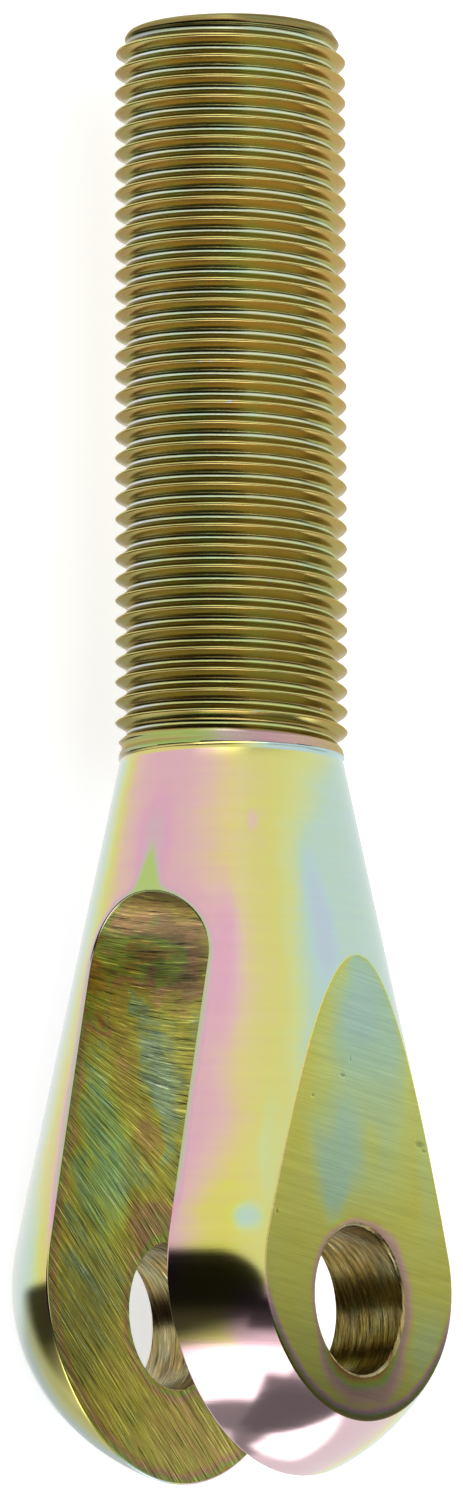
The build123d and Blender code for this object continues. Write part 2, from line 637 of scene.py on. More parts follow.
def quarter_rows(station, fork):
    """Rounding by the slot, turned surface and rounding by the flat, across one quarter."""
    low, high = station.slot_angle, station.flat_angle
    turned = []
    for k in range(fork.columns + 1):
        turn = low + (high - low) * k / fork.columns
        c, s = math.cos(turn), math.sin(turn)
        turned.append((
            Vector((station.x, station.radius * c, station.radius * s)),
            Vector((station.along, station.out * c, station.out * s))))
    slot_side, flat_side = None, None
    if station.has_slot:
        centre = (station.slot_x, station.slot_radius * math.cos(low), station.slot_z)
        inner = (-math.sin(station.slot_turn), 0.0, -math.cos(station.slot_turn))
        slot_side = arc(centre, fork.slot_edge, inner, turned[0][1])
        slot_side[-1] = turned[0]
    if station.has_flat:
        centre = (station.flat_x, station.flat_radius * math.cos(high), station.flat_z)
        flat_side = arc(centre, fork.flat_edge, turned[-1][1], (0.0, 0.0, 1.0))
        flat_side[0] = turned[-1]
    return slot_side, turned, flat_side


TURNED, GROUND, MILLED, BORED, ENDED, THREADED = range(6)


def fill_plate(skin, loop, circle, z, normal, finish):
    """Fills a flat plate between its outline and its hole with even triangles."""
    # triangles about this wide, in rows so far apart, that keep clear of the outline
    spacing = 1.0 * MM
    row_gap, clear = spacing * 0.866, spacing * 0.4
    outline = [Vector((p[0], p[1])) for p in loop]
    hole = [Vector((p[0], p[1])) for p in circle]
    fence = kdtree.KDTree(len(outline) + len(hole))
    for k, p in enumerate(outline + hole):
        fence.insert((p.x, p.y, 0.0), k)
    fence.balance()
    inner = []
    lows = [min(p[a] for p in outline) for a in (0, 1)]
    highs = [max(p[a] for p in outline) for a in (0, 1)]
    hole_radius = hole[0].length
    ring = np.array([(p.x, p.y) for p in outline])
    after = np.roll(ring, -1, axis=0)
    for i, x in enumerate(np.arange(lows[0], highs[0], row_gap)):
        for y in np.arange(lows[1] + (i % 2) * spacing / 2, highs[1], spacing):
            if math.hypot(x, y) < hole_radius + clear or fence.find((x, y, 0.0))[2] < clear:
                continue
            # inside, if a line along X crosses the outline an odd number of times
            cross = (ring[:, 1] > y) != (after[:, 1] > y)
            with np.errstate(divide="ignore", invalid="ignore"):
                share = (y - ring[:, 1]) / (after[:, 1] - ring[:, 1])
                at = ring[:, 0] + share * (after[:, 0] - ring[:, 0])
            if np.count_nonzero(cross & (x < at)) % 2:
                inner.append(Vector((x, y)))
    flat_points = outline + hole + inner
    n, m = len(outline), len(hole)
    edges = [(k, (k + 1) % n) for k in range(n)]
    edges += [(n + k, n + (k + 1) % m) for k in range(m)]
    spots, _, faces, _, _, _ = geometry.delaunay_2d_cdt(flat_points, edges, [], 1, 1e-9)
    if len(spots) != len(flat_points):
        raise RuntimeError("a plate of the fork could not be filled")
    exact = [Vector(p) for p in [*loop, *circle]] + [Vector((p.x, p.y, z)) for p in inner]
    numbers = [skin.point(p, normal) for p in exact]
    for corners in faces:
        middle = sum((flat_points[c] for c in corners), Vector((0.0, 0.0))) / len(corners)
        if middle.length >= hole_radius:
            skin.face([numbers[c] for c in corners], finish)


def bore_rows(fork, side):
    """Rounded rims and the wall of the pin bore through one cheek."""
    inner, outer = fork.slot_width / 2, fork.across_flats / 2
    small, rim, radius = fork.slot_edge, fork.rim, fork.bore_radius
    profile, outer_rim = [], []
    for k in range(EDGE_STEPS + 1):
        turn = math.pi / 2 * k / EDGE_STEPS
        c, s = math.cos(turn), math.sin(turn)
        profile.append((radius + small * (1 - s), inner + small * (1 - c), -s, -c))
        outer_rim.append((radius + rim * (1 - c), outer - rim * (1 - s), -c, s))
    profile += [(radius, (inner + outer) / 2, -1.0, 0.0), *outer_rim]
    return [[(Vector((r * c, r * s, side * z)), Vector((nr * c, nr * s, side * nz)))
             for c, s in once_round(fork.columns * 4)] for r, z, nr, nz in profile]


def fork_skin(fork):
    """The whole fork, open only at the neck, and the rows of one of its quarters."""
    skin = Skin()
    stations = turned_outline(fork)
    parts = [quarter_rows(s, fork) for s in stations]
    for side_y in (1.0, -1.0):
        for side_z in (1.0, -1.0):
            for which, finish in ((1, TURNED), (0, TURNED), (2, GROUND)):
                rows = [mirrored(p[which], side_y, side_z) for p in parts if p[which]]
                skin.strip(rows, finish)
    slot_rows = [p[0][0] for p in parts if p[0]]
    slot_turns = [s.slot_turn for s in stations if s.has_slot]
    straight = max(k for k, t in enumerate(slot_turns) if t > 1e-6) + 1
    across = [1 - 2 * k / SLOT_COLUMNS for k in range(SLOT_COLUMNS + 1)]
    # the slot's round end: straight lines from one mouth to the other
    for side in (1.0, -1.0):
        rows = [[(Vector((place.x, place.y * share, place.z * side)),
                  Vector((normal.x, normal.y, normal.z * side))) for share in across]
                for place, normal in slot_rows[:straight + 1]]
        skin.strip(rows, MILLED)
    # the cheeks' inner faces, the outer flats and the bores
    half = [p for p, _ in slot_rows[straight:]]
    mouth = [Vector((half[0].x, half[0].y * share, half[0].z)) for share in across[1:-1]]
    back = [Vector((p.x, -p.y, p.z)) for p in half[:-1]]
    cheek = [half[0]] + mouth + back + half[:0:-1]
    rim = [p[2][-1][0] for p in parts if p[2]]
    flat = rim + [Vector((p.x, -p.y, p.z)) for p in rim[-2:0:-1]]
    for side in (1.0, -1.0):
        rows = bore_rows(fork, side)
        skin.strip(rows, BORED)
        for loop, z, row, facing, finish in (
                (cheek, fork.slot_width / 2, rows[0], -side, MILLED),
                (flat, fork.across_flats / 2, rows[-1], side, GROUND)):
            loop = [Vector((p.x, p.y, side * z)) for p in loop]
            circle = [p for p, _ in row[:-1]]
            fill_plate(skin, loop, circle, side * z, (0.0, 0.0, facing), finish)
    return skin, parts


def edge_lines(fork, parts):
    """Points along every edge of the fork, to measure distances from."""
    lines = []
    for slot_side, _, flat_side in parts:
        for rounding in (slot_side, flat_side):
            if rounding:
                place = rounding[len(rounding) // 2][0]
                for side_y in (1.0, -1.0):
                    for side_z in (1.0, -1.0):
                        lines.append(Vector((place.x, place.y * side_y, place.z * side_z)))
    radius, rim_points = fork.bore_radius, 180
    for z in (fork.slot_width / 2, fork.across_flats / 2):
        for c, s in once_round(rim_points):
            lines += [Vector((radius * c, radius * s, z)), Vector((radius * c, radius * s, -z))]
    return lines


def neck_skin(thread, fork):
    """The narrow stepped band between the thread and the cone."""
    skin = Skin()
    x, r, step = fork.neck_to_pin, fork.neck_radius, thread.neck_step
    # down from the last crest into a shallow groove, and up to the cone
    profile = [(x + step, r + thread.neck_rise), (x + step * 0.78, r - 0.10 * MM),
               (x + step * 0.66, r - 0.12 * MM), (x, r)]
    skin.strip(turned_rows([(x, r, 0.0, 1.0) for x, r in profile], fork.columns * 4), TURNED)
    # the zero normals leave the shading to the mesh
    skin.normals = [(0.0, 0.0, 0.0)] * len(skin.normals)
    return skin


def end_skin(thread, fork):
    """The shank's end face and the rounding round it."""
    face_rings = 6
    skin = Skin()
    slope, edge = thread.lead_angle, thread.end_edge
    ring_x, ring_r = end_ring(thread)
    centre_x, centre_r = ring_x - edge * math.sin(slope), ring_r - edge * math.cos(slope)
    profile = []
    for k in range(EDGE_STEPS + 1):
        turn = slope + (math.pi / 2 - slope) * k / EDGE_STEPS
        c, s = math.cos(turn), math.sin(turn)
        profile.append((centre_x + edge * s, centre_r + edge * c, s, c))
    for k in range(1, face_rings + 1):
        profile.append((thread.end, centre_r * (1 - k / face_rings), 1.0, 0.0))
    skin.strip(turned_rows(profile, fork.columns * 4), ENDED)
    return skin


def end_ring(thread):
    """Where the threaded length meets the rounding of the end face: (x, radius)."""
    edge, slope = thread.end_edge, thread.lead_angle
    x = thread.end - edge * (1 - math.sin(slope))
    return x, thread.lead_radius + (thread.end - x) * math.tan(slope)


# ---------------------------------------------------------------- the finish

# about how many millimetres a degree is worth round the shank, the bore and the end face
SHANK_DEGREE, BORE_DEGREE, FACE_DEGREE = 0.13, 0.086, 0.06


def film_group(colours):
    """Colour of a clear yellow chromate film from its thickness, 0 thin to 1 thick."""
    tree, w, given, out = new_group(
        "chromate film", "ShaderNodeTree", [("Film", "NodeSocketFloat", 0.5)],
        [("Color", "NodeSocketColor")])
    w.put(out["Color"], w.bands(given["Film"], [
        (0.00, colours.lavender), (0.10, colours.cyan), (0.20, colours.green),
        (0.30, colours.lime), (0.40, colours.yellow), (0.50, colours.peach),
        (0.60, colours.rose), (0.70, colours.pink), (0.78, colours.mauve),
        (0.86, colours.moss), (0.93, colours.amber), (1.00, colours.bronze)]))
    return tree


def marks_group():
    """Tool marks that run along the vector's first axis: a height, and a broad mask."""
    tree, w, given, out = new_group(
        "tool marks", "ShaderNodeTree",
        [("Vector", "NodeSocketVector", None), ("Spacing", "NodeSocketFloat", 0.4),
         ("Length", "NodeSocketFloat", 8.0), ("Seed", "NodeSocketFloat", 0.0)],
        [("Height", "NodeSocketFloat"), ("Streaks", "NodeSocketFloat")])
    x, y, z = w.split(given["Vector"])
    seed = given["Seed"]
    along, across = x / given["Length"], y / given["Spacing"]
    coarse = w.noise(along, across, z + seed, 3.0, 0.6)
    fine = w.noise(along * 1.7, across * 3.1, seed, 2.0, 0.6)
    w.put(out["Height"], coarse * 0.6 + fine * 0.4)
    w.put(out["Streaks"], w.noise(along * 0.8, across * 0.23, seed, 3.0, 0.65))
    return tree


def metal(name):
    """Adds a bare metal material and returns its wiring and its shader."""
    material = bpy.data.materials.new(name)
    material.use_nodes = True
    tree = material.node_tree
    tree.nodes.clear()
    w = Wiring(tree)
    shader = w.add("ShaderNodeBsdfPrincipled", {"Metallic": 1.0})
    w.add("ShaderNodeOutputMaterial", {"Surface": Result(w, shader.outputs[0])})
    return w, shader


def filmed(w, film, thickness):
    """The film's colour where it is so thick."""
    return w.all_of(w.add("ShaderNodeGroup", {"Film": thickness}, node_tree=film))["Color"]


def marked(w, marks, vector, spacing, length, seed):
    """Tool marks along the vector's first axis: their height, and their broad streaks."""
    given = {"Vector": vector, "Spacing": spacing, "Length": length, "Seed": seed}
    return w.all_of(w.add("ShaderNodeGroup", given, node_tree=marks)).values()


def in_mm(w):
    """Object coordinates in millimetres: x, y and z."""
    place = w.made("ShaderNodeTexCoord", out="Object")
    return w.split(w.made(
        "ShaderNodeVectorMath", {0: place, 1: (1000.0, 1000.0, 1000.0)}, operation="MULTIPLY"))


def attribute(w, name):
    """A number stored on the mesh."""
    return w.made(
        "ShaderNodeAttribute", out="Fac", attribute_name=name, attribute_type="GEOMETRY")


def around(w, y, z):
    """Angle round the shank in degrees, from +Y towards +Z."""
    return w.math("ARCTAN2", z, y) * DEGREES


def spot(w, u, v, u0, v0, u_size, v_size, soft):
    """A soft oval mask: where its middle is, its half sizes, and how soft its edge is."""
    du, dv = (u - u0) / u_size, (v - v0) / v_size
    apart = w.math("SQRT", du * du + dv * dv)
    return w.ramp(apart, 1.0 + soft, 1.0 - soft)


def patched(w, thick, u, v, soft, patches):
    """Film with oval patches: (u, v, half length, half width, thickness, share) for each."""
    for *oval, value, share in patches:
        thick = w.mix(spot(w, u, v, *oval, soft) * share, thick, value)
    return thick


def surface(w, shader, colour, roughness, height, depth):
    """Feeds the shader a colour, a roughness, and a height in units of the depth in metres."""
    relief = w.made("ShaderNodeBump", {"Strength": 1.0, "Distance": depth, "Height": height})
    for name, value in (("Base Color", colour), ("Roughness", roughness), ("Normal", relief)):
        w.put(shader.inputs[name], value)


def toned(w, colour, level):
    """A colour made darker or lighter by a number, or by one for each of its channels."""
    tone = level if isinstance(level, tuple) else w.vector(level, level, level)
    return w.blend(1.0, colour, tone, "MULTIPLY")


def turned_finish(w, shader, film, marks):
    """The turned cone, shoulder and nose: bright bands of film that run along the shank."""
    x, y, z = in_mm(w)
    angle = around(w, y, z)
    drift = w.noise(x / 9.0, y / 6.0, z / 6.0, 3.0, 0.55)
    turn = angle + (drift - 0.5) * 14.0
    # where pink ends, where yellow starts and ends, and where cyan starts, in degrees
    pink_end = w.track(x, [(0.0, 22.0), (5.0, 23.0), (10.0, 30.0), (15.0, 31.0), (18.0, 33.0),
                           (22.0, 38.0), (25.0, 34.0), (27.5, 18.0), (30.0, 9.0), (37.0, 13.0)])
    yellow_start = w.track(x, [(0.0, 30.0), (5.0, 33.0), (10.0, 41.0), (15.0, 43.0), (20.0, 48.0),
                               (25.0, 49.0), (29.0, 51.0), (33.0, 52.0), (37.0, 44.0)])
    yellow_end = w.track(x, [(0.0, 52.0), (10.0, 52.0), (15.0, 56.0), (20.0, 57.0), (25.0, 58.0),
                             (30.0, 61.0), (34.0, 66.0), (37.0, 76.0)])
    cyan_start = w.track(x, [(0.0, 60.0), (15.0, 61.0), (20.0, 63.0), (25.0, 64.0), (30.0, 71.0),
                             (33.0, 82.0), (37.0, 104.0)])
    thick = 0.65 - w.ramp(turn, pink_end - 5.0, yellow_start, 0.0, 0.23)
    thick = thick - w.ramp(turn, yellow_start, yellow_end, 0.0, 0.07)
    thick = thick - w.ramp(turn, yellow_end - 3.0, cyan_start + 3.0, 0.0, 0.19, smooth=False)
    thick = thick - w.ramp(turn, cyan_start, 128.0, 0.0, 0.03, smooth=False)
    beside_slot = w.ramp(x, 27.0, 22.0) * w.ramp(x, 2.0, 8.0)
    left_turn = turn + beside_slot * 5.0
    left = w.track(left_turn, [(-60.0, 0.12), (-43.0, 0.17), (-36.0, 0.22), (-29.0, 0.33),
                               (-22.0, 0.47), (-15.0, 0.58), (0.0, 0.66)])
    seen = w.min(left, thick)
    # round the far side the film thickens and thins once more
    behind = abs(w.math("WRAP", turn + 143.6, 180.0, -180.0))
    hidden = w.ramp(behind, 66.0, 30.0, 0.08, 0.66, smooth=False)
    thick = w.max(seen, hidden)
    fine = w.noise(x * 1.1, y / 5.0, z / 5.0, 4.0, 0.6)
    thick = thick + (fine - 0.5) * 0.11
    # patches: lavender and deep pink on the cone, cool spots, one pink spot
    thick = patched(w, thick, x, turn, 0.7, [
        (25.0, 72.0, 4.5, 5.5, 0.03, 0.9), (22.5, 33.0, 4.5, 5.0, 0.705, 0.8),
        (4.7, 40.0, 0.9, 4.0, 0.13, 0.8), (9.5, 45.5, 3.4, 3.2, 0.24, 0.6),
        (32.2, 47.0, 0.7, 2.6, 0.60, 0.7), (31.0, 1.0, 3.0, 7.0, 0.78, 0.7),
        (1.5, -34.0, 5.0, 9.0, 0.13, 0.6), (-7.0, -27.0, 6.0, 11.0, 0.42, 0.9)])
    # a green point over the slot's round end, and a pale band at the neck
    point = (31.0 - x) * 2.3
    halo = w.ramp(abs(angle), point + 3.0, point - 2.5) * w.ramp(x, 26.6, 27.6)
    thick = w.mix(halo * 0.95, thick, 0.86)
    neck = w.ramp(x, 37.30, 37.38)
    thick = w.mix(neck, thick, w.ramp(turn, 28.0, 66.0, 0.45, 0.10))
    # the nose: gold beside the dark shoulder, then pink
    gold = w.ramp(x, 0.8, -1.2)
    rosy = w.max(w.ramp(x, -3.2, -4.4), w.ramp(turn, 34.0, 42.0))
    front = w.ramp(turn, -12.0, -2.0) * w.ramp(turn, 130.0, 100.0)
    tip = w.mix(rosy, 0.4 + fine * 0.12, 0.665)
    thick = w.mix(gold * front, thick, tip)
    # rims: grey-green beside the slot, brown beside the flats
    near = attribute(w, "edge_distance")
    by_slot = w.ramp(abs(z), 8.5, 7.5)
    rim = w.ramp(near, (0.3 + drift) * (0.9 * MM), 0.1 * MM) * w.ramp(x, 3.0, 8.0)
    thick = w.mix(rim * by_slot * 0.9, thick, 0.84)
    flat_rim = w.ramp(near, 0.4 * MM, 0.1 * MM) * (1.0 - by_slot)
    thick = w.mix(flat_rim * 0.1, thick, 0.46)
    colour = filmed(w, film, thick)
    paler = rosy * front * w.ramp(x, -3.0, -8.0, 0.15, 0.45)
    colour = w.blend(paler, colour, (0.70, 0.64, 0.64))
    # on the side away from the flat the colour is blended to pale grey: partly thinner film, partly a
    # painted pale reflection
    pale = w.track(turn, [(-75.0, 0.9), (-50.0, 0.85), (-43.0, 0.60), (-36.0, 0.35),
                          (-29.0, 0.16), (-20.0, 0.0)])
    colour = w.blend(pale * w.ramp(x, -7.0, 1.0, 0.35, 1.0), colour, (0.70, 0.70, 0.69))
    across = w.vector(angle * SHANK_DEGREE, x, z)
    height, streaks = marked(w, marks, across, 0.16, 14.0, 2.0)
    worn = w.ramp(x, 4.5, 1.0)
    surface(w, shader, toned(w, colour, w.mix(streaks, 0.96, 1.04)),
            w.mix(streaks, 0.15, 0.23) - worn * 0.07, height, 0.0018 * MM)


def ground_finish(w, shader, film, marks):
    """The flats outside the cheeks: straight grinding lines under a greenish film."""
    x, y, z = in_mm(w)
    patch = w.noise(x / 4.5, y / 3.5, z / 5.0, 4.0, 0.55)
    loose = (patch - 0.5) * 3.4
    u_patch, v_patch = x + loose, y + loose * 0.7
    thick = (patch - 0.5) * 0.12 + 0.385
    # cool patches down the middle, warmer ones between them
    thick = patched(w, thick, u_patch, v_patch, 0.6, [
        (18.5, -1.0, 6.5, 4.6, 0.15, 0.9), (20.0, 0.0, 3.0, 1.8, 0.09, 0.6),
        (11.5, -1.0, 4.6, 4.6, 0.24, 0.8), (10.0, 2.6, 3.6, 2.6, 0.17, 0.9),
        (6.8, 2.8, 2.0, 1.3, 0.18, 0.8), (10.0, -1.6, 1.6, 1.2, 0.31, 0.8),
        (13.0, 4.0, 3.0, 1.6, 0.29, 0.6), (-4.0, -8.2, 3.6, 2.4, 0.24, 0.7),
        (11.0, -8.0, 6.0, 1.4, 0.24, 0.6)])
    # the film thickens towards the bore, most of all below it
    from_bore = w.math("SQRT", x * x + y * y)
    below = w.ramp(x / from_bore, -0.45, -0.95)
    beside = w.ramp(y / from_bore, -0.1, -0.8)
    outer = 5.75 + below * 1.75 + beside * 0.7 + (patch - 0.5) * 0.8
    inner = outer - (1.15 + below * 1.0 + beside * 0.9)
    thick = thick + w.ramp(from_bore, outer, inner, 0.0, 0.62, smooth=False)
    near = attribute(w, "edge_distance")
    low = w.ramp(x, 2.0, -4.0)
    outside = w.ramp(from_bore, 6.8, 7.4)
    # round the outline the film turns to bronze, most towards the bottom, where it is a painted dark
    # reflection of the rounded edge
    edge = w.ramp(near, (low + patch) * (0.7 * MM), 0.1 * MM)
    thick = w.mix(edge * outside * (0.1 + low * 0.8), thick, 0.97)
    colour = filmed(w, film, thick)
    grinding = math.radians(85.0)
    u = x * math.cos(grinding) + y * math.sin(grinding)
    v = y * math.cos(grinding) - x * math.sin(grinding)
    height, streaks = marked(w, marks, w.vector(u, v, z), 0.28, 7.0, 5.0)
    # a painted dark reflection: a dark band along the lower outline
    dark = w.ramp(near, 0.9 * MM, 0.1 * MM) * (outside * w.ramp(x, 1.0, -4.0, 0.0, 0.5))
    level = w.ramp(height, 0.3, 0.7, 0.88, 1.12, smooth=False) - dark
    # painted shade: darker down the flat, towards the nose; in the band round the bore the thicker
    # film is darker
    lower = x + w.ramp(y, 5.0, -7.0) * 1.6
    level = level * w.track(lower, [(-7.0, 0.3), (-5.0, 0.42), (-2.0, 0.58), (1.0, 0.72),
                                    (5.0, 0.86), (9.0, 0.97), (14.0, 1.08), (22.0, 1.2)])
    level = level * w.ramp(from_bore, outer, inner, 1.0, 0.78)
    # small dents
    dents = 0.0
    for oval in ((15.0, 1.9, 0.14, 0.30), (16.2, 1.0, 0.20, 0.12), (11.2, -6.9, 0.22, 0.45),
                 (10.8, -7.4, 0.12, 0.25), (5.1, 9.4, 0.20, 0.16), (13.3, 5.3, 0.12, 0.20)):
        dents = spot(w, x, y, *oval, 0.6) + dents
    top = dents * w.ramp(z, 0.0, 1.0)
    level = level * (1.0 - top * 0.35)
    colour = toned(w, colour, (1.0, 1.02, 0.92))
    ring = w.ramp(from_bore, outer + 0.3, inner)
    colour = w.blend(ring, colour, toned(w, colour, (0.92, 0.98, 0.54)))
    surface(w, shader, toned(w, colour, level), w.mix(streaks, 0.20, 0.32),
            height - top * 1.5, 0.012 * MM)


def milled_finish(w, shader, film, marks):
    """The slot: coarse curved milling marks under a streaky film."""
    x, y, z = in_mm(w)
    bent = x - (y - 5.0) * 0.5
    swing = w.track(bent, [(-12.0, 0.84), (4.0, 0.86), (8.0, 0.94), (12.0, 1.10), (16.0, 1.32),
                           (20.0, 1.50), (28.0, 1.64)])
    c, s = w.math("COSINE", swing), w.math("SINE", swing)
    px, py = x - 12.0, y - 6.0
    u = px * c + py * s
    v = py * c - px * s
    height, streaks = marked(w, marks, w.vector(u, v, z), 0.30, 5.0, 9.0)
    patch = w.noise(x / 3.5, y / 3.0, z / 4.0, 4.0, 0.6)
    loose = (patch - 0.5) * 6.0
    u_patch, v_patch = x + loose, y + loose
    thick = (patch - 0.5) * 0.9 + 0.42
    thick = patched(w, thick, u_patch, v_patch, 0.6, [
        (24.0, 4.0, 2.8, 6.5, 0.95, 0.85), (21.5, 8.8, 2.2, 1.6, 0.97, 0.95),
        (16.0, 3.0, 4.5, 3.6, 0.05, 0.6), (12.5, 1.5, 2.5, 2.0, 0.08, 0.5),
        (11.0, 8.2, 6.0, 2.4, 0.20, 0.95), (9.0, 5.0, 2.8, 2.2, 0.22, 0.9),
        (16.5, 5.6, 3.0, 1.5, 0.81, 0.5), (12.6, 3.4, 2.2, 1.2, 0.81, 0.6),
        (5.5, 1.5, 2.2, 3.0, 0.92, 0.7), (0.0, 10.0, 5.0, 3.0, 0.26, 0.7),
        (-6.0, 5.5, 3.6, 3.0, 0.40, 0.8), (-8.0, -2.0, 3.5, 4.5, 0.52, 0.7)])
    near = attribute(w, "edge_distance")
    edge = w.ramp(near, (patch + 0.4) * (1.4 * MM), 0.1 * MM)
    thick = w.mix(edge * 0.85, thick, 0.96) + (streaks - 0.5) * 0.5 + (height - 0.5) * 0.2
    colour = filmed(w, film, thick)
    tinted = toned(w, colour, (0.78, 0.76, 0.56))
    pinkish = w.ramp(thick, 0.4, 0.52) * w.ramp(thick, 0.9, 0.8)
    tinted = w.blend(pinkish, tinted, toned(w, tinted, (0.92, 0.98, 0.5)))
    greener = spot(w, u_patch, v_patch, 10.0, 8.0, 5.5, 2.8, 0.7)
    tinted = w.blend(greener, tinted, toned(w, tinted, (1.08, 1.3, 1.05)))
    score, _ = marked(w, marks, w.vector(u, v, z), 0.15, 5.0, 31.0)
    level = w.ramp(height, 0.36, 0.64, 0.55, 1.28, smooth=False)
    level = level * w.ramp(patch, 0.3, 0.7, 0.85, 1.12)
    # painted glints along the bright score lines, and painted shade in the dark ones
    level = level + w.ramp(score, 0.57, 0.64, 0.0, 1.8)
    level = level * w.ramp(score, 0.38, 0.46, 0.15, 1.0)
    # painted shade towards the slot's closed end, and a darker spot near the nose
    darker = spot(w, x, y, 24.5, 0.5, 2.2, 5.5, 0.5) * 0.55
    darker = darker + spot(w, u_patch, v_patch, -1.0, 10.5, 4.0, 3.0, 0.6) * 0.3
    surface(w, shader, toned(w, tinted, level * (1.0 - darker)), w.mix(streaks, 0.22, 0.36),
            height + score * 0.35, 0.080 * MM)


def bored_finish(w, shader, film, marks):
    """The pin bore: rings round the bore under a brown film, with painted light and shade along them
    and painted glints on a few scores.
    """
    x, y, z = in_mm(w)
    round_bore = around(w, x, y) * BORE_DEGREE
    slanted = z + round_bore * 0.18
    height, streaks = marked(w, marks, w.vector(round_bore, slanted, 0.0), 0.30, 3.2, 12.0)
    patch = w.noise(x / 2.5, y / 2.5, z / 2.0, 3.0, 0.6)
    thick = streaks * 0.7 + patch * 0.7
    colour = filmed(w, film, thick * 0.9 - 0.15)
    brown = w.blend(w.ramp(patch, 0.4, 0.65), (0.30, 0.21, 0.08), (0.30, 0.28, 0.14))
    tinted = w.blend(0.85, toned(w, colour, (0.45, 0.42, 0.3)), brown)
    # painted shade and light along the rings, and painted glints where they stand highest
    level = w.ramp(height, 0.38, 0.64, 0.30, 1.90, smooth=False)
    level = level + w.ramp(height, 0.62, 0.68, 0.0, 4.5)
    surface(w, shader, toned(w, tinted, level), w.mix(streaks, 0.16, 0.34), height, 0.070 * MM)


def threaded_finish(w, shader, film, marks):
    """The thread: brown and olive flanks, pale roots, gold crests, and film at the neck."""
    shader.inputs["Specular Tint"].default_value = (0.82, 0.76, 0.60, 1.0)
    scene = bpy.context.scene
    thread, colours = scene.rod_end_thread, scene.rod_end_colours
    x, y, z = in_mm(w)
    groove = attribute(w, "groove")
    angle = around(w, y, z)
    hand = 1.0 if thread.left_hand else -1.0
    pitch = thread.pitch / MM
    # how far down the shank from a crest, as a share of the pitch
    count = (thread.crest_at / MM - x) / pitch
    phase = w.math("FRACT", count - angle * (hand / 360.0))
    patch = w.noise(x / 6.0, y / 4.0, z / 4.0, 3.0, 0.6)
    speck = w.noise(x * 1.6, y * 1.2, z * 1.2, 3.0, 0.65)
    flank, root, crest = (Vector(c) for c in (colours.flank, colours.root, colours.crest))
    olive = Vector((flank.x * 0.86, flank.y * 1.06, flank.z * 1.05))
    shaded_olive = olive * 0.72
    brown = Vector((flank.x * 1.02, flank.y * 0.96, flank.z * 0.92))
    moss = Vector((root.x * 1.0, root.y * 0.95, root.z * 0.55))
    # the darker olive either side of the root, here and in the bands below, is painted shade in the
    # groove
    far = w.bands(phase, [
        (0.0, crest), (0.05, brown), (0.24, brown), (0.32, olive), (0.43, shaded_olive), (0.50, root),
        (0.59, root), (0.63, shaded_olive), (0.76, flank * 0.85), (0.90, brown * 0.9), (0.95, crest),
        (1.0, crest)])
    by_neck = w.bands(phase, [
        (0.0, crest), (0.05, brown), (0.13, olive), (0.25, olive), (0.34, brown * 0.75),
        (0.48, shaded_olive), (0.52, moss), (0.58, moss), (0.63, shaded_olive), (0.76, brown * 0.85),
        (0.90, flank * 0.9), (0.95, crest), (1.0, crest)])
    low = w.ramp(x + patch * 16.0, 72.0, 50.0)
    colour = w.blend(low, far, by_neck)
    greener = toned(w, colour, (0.9, 1.07, 1.12))
    colour = w.blend(w.ramp(patch, 0.46, 0.70), colour, greener)
    # bluish roots towards one side; towards the other the flanks are darker and browner, which is
    # painted shade
    in_root = w.ramp(phase, 0.47, 0.52) * w.ramp(phase, 0.8, 0.7)
    cold = in_root * w.ramp(angle, 2.0, -25.0)
    colour = w.blend(cold * 0.9, colour, (0.72, 0.76, 0.86))
    far_side = w.ramp(angle, 72.0, 92.0) * w.ramp(groove, 0.98, 0.85)
    colour = w.blend(far_side * (1.0 - in_root * 0.6), colour, toned(w, colour, (0.84, 0.79, 0.72)))
    # a few blue and pale specks where the film is thin
    on_edges = abs(groove * 2.0 - 1.0)
    blue = w.ramp(speck, 0.66, 0.74) * w.ramp(on_edges, 0.2, 0.8)
    colour = w.blend(blue * 0.75, colour, tuple(colours.lavender))
    # over the last, unfinished crest the film shows as it does on the cone
    film_round = w.track(angle, [(-60.0, 0.72), (-20.0, 0.84), (15.0, 0.86), (32.0, 0.79),
                                 (55.0, 0.70), (85.0, 0.56), (110.0, 0.48), (180.0, 0.40)])
    land = filmed(w, film, film_round)
    plain = w.ramp(x, 38.95, 38.7) * w.ramp(groove, 0.35, 0.1)
    colour = w.blend(plain * 0.85, colour, toned(w, land, 0.85))
    height, streaks = marked(w, marks, w.vector(angle * SHANK_DEGREE, x, 0.0), 0.1, 2.4, 17.0)
    level = w.ramp(height, 0.3, 0.7, 0.90, 1.10, smooth=False)
    # painted shade: darker towards the neck
    level = level * w.mix(low, 1.0, 0.88)
    level = level * w.ramp(x, 86.9, 87.4, 1.0, 0.5)
    surface(w, shader, toned(w, colour, level), w.mix(streaks, 0.14, 0.26), height, 0.004 * MM)


def end_finish(w, shader, film, marks):
    """The end face: rings left by facing."""
    _, y, z = in_mm(w)
    reach = w.math("SQRT", y * y + z * z)
    angle = around(w, y, z)
    height, streaks = marked(w, marks, w.vector(angle * FACE_DEGREE, reach, 0.0), 0.16, 10.0, 21.0)
    patch = w.noise(y / 6.0, z / 6.0, 3.0, 3.0, 0.5)
    thick = patch * 0.7 + streaks * 0.2
    colour = filmed(w, film, thick - 0.05)
    rim = w.ramp(reach, 6.75, 6.95)
    brown = (0.46, 0.34, 0.15)
    colour = w.blend(rim, toned(w, colour, (0.82, 0.8, 0.74)), brown)
    surface(w, shader, colour, w.mix(streaks, 0.22, 0.34), height, 0.010 * MM)


FINISHES = {
    TURNED: ("turned_plating", turned_finish), GROUND: ("ground_plating", ground_finish),
    MILLED: ("milled_plating", milled_finish), BORED: ("bored_plating", bored_finish),
    ENDED: ("faced_plating", end_finish), THREADED: ("threaded_plating", threaded_finish)}


